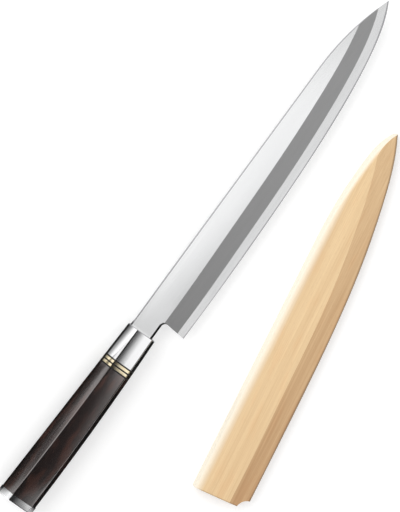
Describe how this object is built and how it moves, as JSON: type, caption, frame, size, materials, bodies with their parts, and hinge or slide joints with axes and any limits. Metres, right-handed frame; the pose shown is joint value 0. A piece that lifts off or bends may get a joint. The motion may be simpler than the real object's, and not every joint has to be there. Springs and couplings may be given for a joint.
{
  "type": "yanagiba knife",
  "caption": "Single-bevel slicing knife: two-layer blade, polished octagonal ferrule and butt cap, brass and black rings, dark wood grip, with its pale wooden sheath lying beside it.",
  "frame": {"origin": "on the flat back of the blade, level with the heel, on the centre line of the handle", "axes": "+X from heel to tip, +Y from edge to spine, +Z out of the bevelled front face"},
  "size_m": [0.4282, 0.1549, 0.0241],
  "materials": {
    "soft_iron": "satin face, blasted bevel",
    "hard_steel": "fine polished",
    "mirror_steel": "mirror polished",
    "black_fibre": "satin",
    "brass": "polished",
    "dark_wood": "waxed, close grain",
    "pale_wood": "raw",
    "magnolia": "planed, unvarnished",
    "plain_steel": "machined"
  },
  "bodies": {
    "knife": {"blade_cladding": "soft_iron", "blade_core": "hard_steel", "ferrule": "mirror_steel", "front_black_spacer": "black_fibre", "front_brass_ring": "brass", "middle_black_spacer": "black_fibre", "rear_brass_ring": "brass", "rear_black_spacer": "black_fibre", "grip": "dark_wood", "end_cap": "mirror_steel", "tenon_dowel": "pale_wood", "tang_stud": "plain_steel", "clamp_washer": "plain_steel", "clamp_nut": "plain_steel"},
    "saya": {"saya_front_half": "magnolia", "saya_back_half": "magnolia"}
  },
  "joints": [
    {"name": "saya_draw", "type": "slide", "parent": "knife", "child": "saya", "axis": [0.9842, 0.1771, 0], "range_m": [0, 0.282]}
  ]
}
